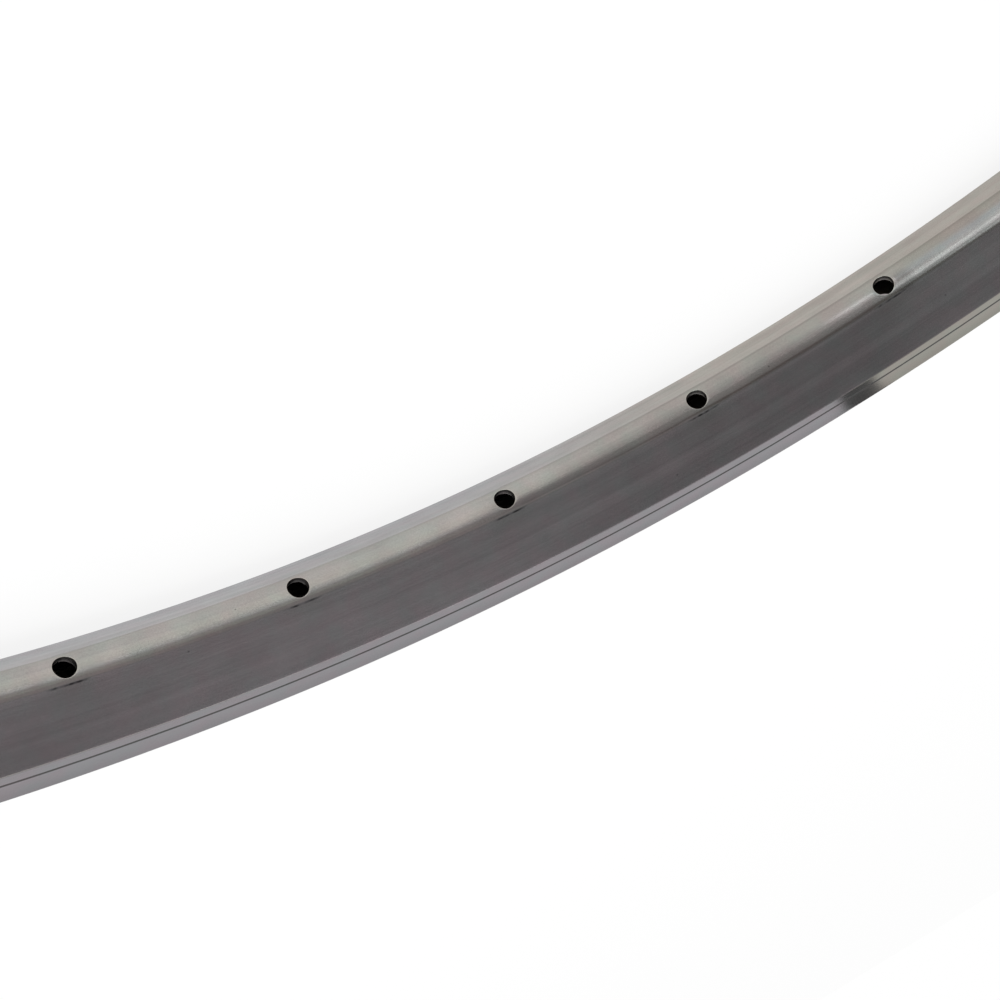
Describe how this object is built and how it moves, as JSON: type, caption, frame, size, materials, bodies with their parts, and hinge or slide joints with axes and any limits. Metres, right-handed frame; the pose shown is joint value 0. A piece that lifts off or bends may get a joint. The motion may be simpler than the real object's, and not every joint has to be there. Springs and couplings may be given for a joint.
{
  "type": "bicycle rim",
  "caption": "Double-walled aluminium bicycle rim with a V-shaped section, brake tracks, a hooked tyre channel and a row of radial spoke holes.",
  "frame": {"origin": "centre of the rim: on the axle line, in the middle plane of the section", "axes": "+Z along the axle line; the valve hole is on +Y"},
  "size_m": [0.5713, 0.5714, 0.0228],
  "materials": {
    "rim": "satin"
  },
  "bodies": {
    "root": {"rim": "rim"}
  },
  "joints": []
}
